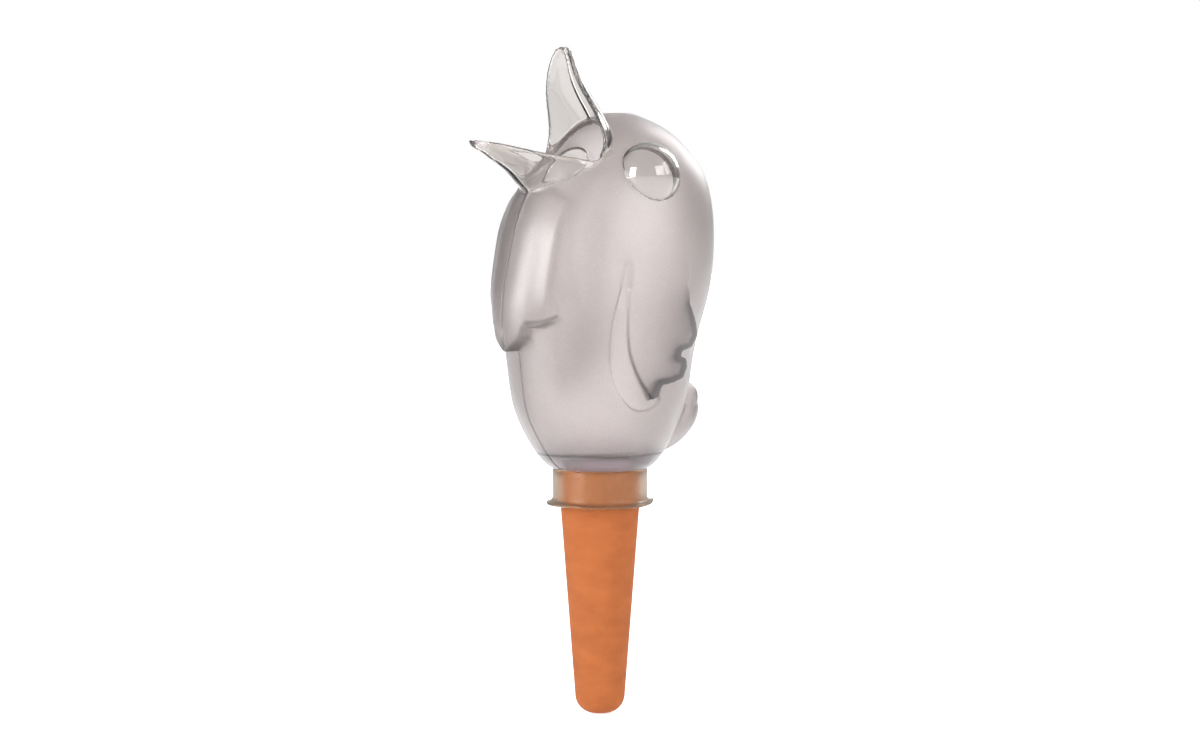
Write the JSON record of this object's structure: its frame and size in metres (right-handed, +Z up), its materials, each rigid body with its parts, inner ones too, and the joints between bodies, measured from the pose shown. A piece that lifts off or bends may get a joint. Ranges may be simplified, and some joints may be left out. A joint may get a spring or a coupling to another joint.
{
  "type": "self watering spike",
  "caption": "Clear bird-shaped water reservoir on a hollow porous clay cone that is pushed into a pot, joined by a soft stepped neck collar.",
  "frame": {"origin": "on the neck's axis at the underside of the collar's lip, where the soil line lies", "axes": "+Z up out of the soil, the bird's beak faces -Y and its left side is +X"},
  "size_m": [0.0566, 0.0855, 0.1997],
  "materials": {
    "clear_plastic": "clear, frosted on the body and polished on the beak, the eyes and the bottom",
    "soft_collar": "soft translucent, smooth",
    "terracotta": "matt unglazed clay"
  },
  "bodies": {
    "cone": {"clay_cone": "terracotta"},
    "collar": {"neck_collar": "soft_collar"},
    "reservoir": {"left_shell": "clear_plastic", "right_shell": "clear_plastic"}
  },
  "joints": [
    {"name": "collar_swivel", "type": "hinge", "parent": "cone", "child": "collar", "pos_m": [0, 0, 0.0057], "axis": [0, 0, 1], "continuous": true},
    {"name": "reservoir_lift", "type": "slide", "parent": "collar", "child": "reservoir", "axis": [0, 0, 1], "range_m": [0, 0.03]}
  ]
}
